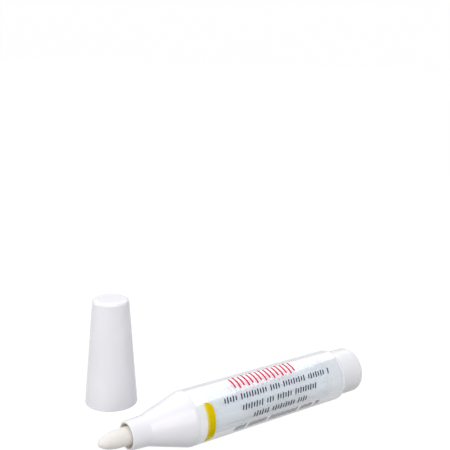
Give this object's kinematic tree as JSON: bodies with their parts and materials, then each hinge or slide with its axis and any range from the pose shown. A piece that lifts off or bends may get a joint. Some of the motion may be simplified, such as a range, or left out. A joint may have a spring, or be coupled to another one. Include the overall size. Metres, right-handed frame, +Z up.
{
  "type": "nail oil pen",
  "caption": "Nail oil pen with a clear barrel, a felt bullet nib fed by a sprung valve, and a tapered cap standing beside it.",
  "frame": {"origin": "middle of the base of the whole row, on the surface that the pen lies on and the cap stands on", "axes": "+X along the pen from its nib to its tail, +Y from the pen towards the cap, +Z up along the cap's axis"},
  "size_m": [0.089, 0.051, 0.0328],
  "materials": {
    "section_white": "glossy white moulding",
    "barrel_clear": "clear glossy tube",
    "plug_white": "glossy white moulding",
    "oil": "clear oil",
    "felt": "pressed felt",
    "carrier_tan": "satin",
    "valve_white": "satin",
    "seal_rubber": "matt",
    "spring_steel": "drawn wire",
    "cap_white": "glossy white moulding",
    "sleeve_white": "natural moulding"
  },
  "bodies": {
    "pen": {"front_section": "section_white", "barrel": "barrel_clear", "end_plug": "plug_white", "oil_fill": "oil", "valve_seat": "valve_white", "valve_seal": "seal_rubber", "valve_spring": "spring_steel", "valve_cage": "valve_white"},
    "nib": {"nib": "felt", "nib_carrier": "carrier_tan", "valve_head": "valve_white"},
    "cap": {"cap_shell": "cap_white", "cap_sleeve": "sleeve_white"}
  },
  "joints": [
    {"name": "nib_press", "type": "slide", "parent": "pen", "child": "nib", "axis": [1, 0, 0], "range_m": [0, 0.0015], "stiffness_N_per_m": 200, "springref_m": -0.002, "deforming": ["valve_spring"]},
    {"name": "cap_lift", "type": "slide", "parent": "pen", "child": "cap", "axis": [0, 0, 1], "range_m": [0, 0.05]}
  ]
}
